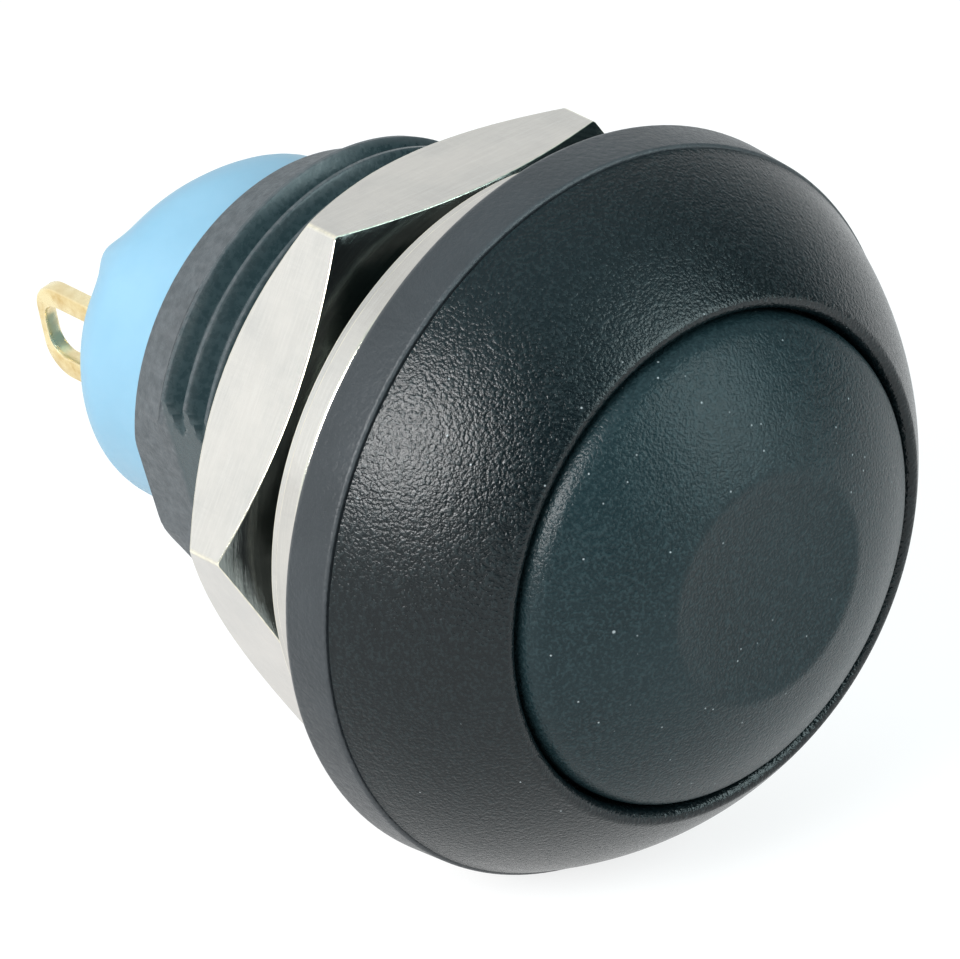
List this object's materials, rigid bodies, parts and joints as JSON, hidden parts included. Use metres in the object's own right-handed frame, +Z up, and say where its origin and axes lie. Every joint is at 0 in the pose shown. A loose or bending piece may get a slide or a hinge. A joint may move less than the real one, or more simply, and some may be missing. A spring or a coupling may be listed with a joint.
{
  "type": "panel push button",
  "caption": "Round domed momentary panel push button with a dished cap, threaded barrel, hex nut, washer, gasket and two solder terminals.",
  "frame": {"origin": "on the button's axis, in the plane of the panel's front face, where the head's rim seats", "axes": "+Y runs along the button's axis from the panel towards the terminals, so the cap faces -Y and is pressed towards +Y; +Z is up and +X is to the right of someone who faces the cap"},
  "size_m": [0.018, 0.0224, 0.018],
  "materials": {
    "rim_plastic": "satin black moulded nylon with a very fine grain",
    "dome_plastic": "black moulded nylon with a spark-eroded leather-like grain",
    "cap_plastic": "black moulded nylon with a fine matt grain",
    "white_plastic": "natural acetal, smooth",
    "inner_plastic": "black moulded nylon, smooth",
    "spring_steel": "drawn spring wire",
    "rubber": "matt black nitrile rubber",
    "copper": "rolled copper alloy strip",
    "silver": "silver contact rivet, satin",
    "gold_plate": "gold-plated brass stamping",
    "base_plastic": "brown phenolic moulding",
    "blue_resin": "light blue cast epoxy, smooth and slightly translucent",
    "nickel_plate": "nickel-plated brass with brushed flats"
  },
  "bodies": {
    "housing": {"threaded_body": "rim_plastic", "bezel_dome": "dome_plastic", "seal_retainer": "inner_plastic", "stem_seal": "rubber", "return_spring": "spring_steel", "fixed_pad_left": "silver", "fixed_pad_right": "silver", "terminal_left": "gold_plate", "terminal_right": "gold_plate", "terminal_base": "base_plastic", "potting_plug": "blue_resin", "panel_gasket": "rubber"},
    "plunger": {"button_cap": "cap_plastic", "plunger_stem": "white_plastic", "stem_clip": "spring_steel"},
    "moving_contact": {"contact_bridge": "copper", "bridge_pad_left": "silver", "bridge_pad_right": "silver", "contact_spring": "spring_steel"},
    "washer": {"flat_washer": "nickel_plate"},
    "nut": {"hex_nut": "nickel_plate"}
  },
  "joints": [
    {"name": "button_press", "type": "slide", "parent": "housing", "child": "plunger", "axis": [0, 1, 0], "range_m": [0, 0.0015], "stiffness_N_per_m": 1500, "springref_m": -0.001, "deforming": ["return_spring"]},
    {"name": "contact_travel", "type": "slide", "parent": "housing", "child": "moving_contact", "axis": [0, 1, 0], "range_m": [0, 0.001], "deforming": ["contact_spring"]},
    {"name": "washer_travel", "type": "slide", "parent": "housing", "child": "washer", "axis": [0, 1, 0], "range_m": [0, 0.00376]},
    {"name": "nut_turn", "type": "hinge", "parent": "washer", "child": "nut", "pos_m": [0, 0.004, 0], "axis": [0, 1, 0], "range_deg": [0, 1800]}
  ],
  "couplings": [
    {"joint": "contact_travel", "follows": "button_press", "ratio": 0.6666},
    {"joint": "washer_travel", "follows": "nut_turn", "m_per_rad": 0.00011937}
  ]
}
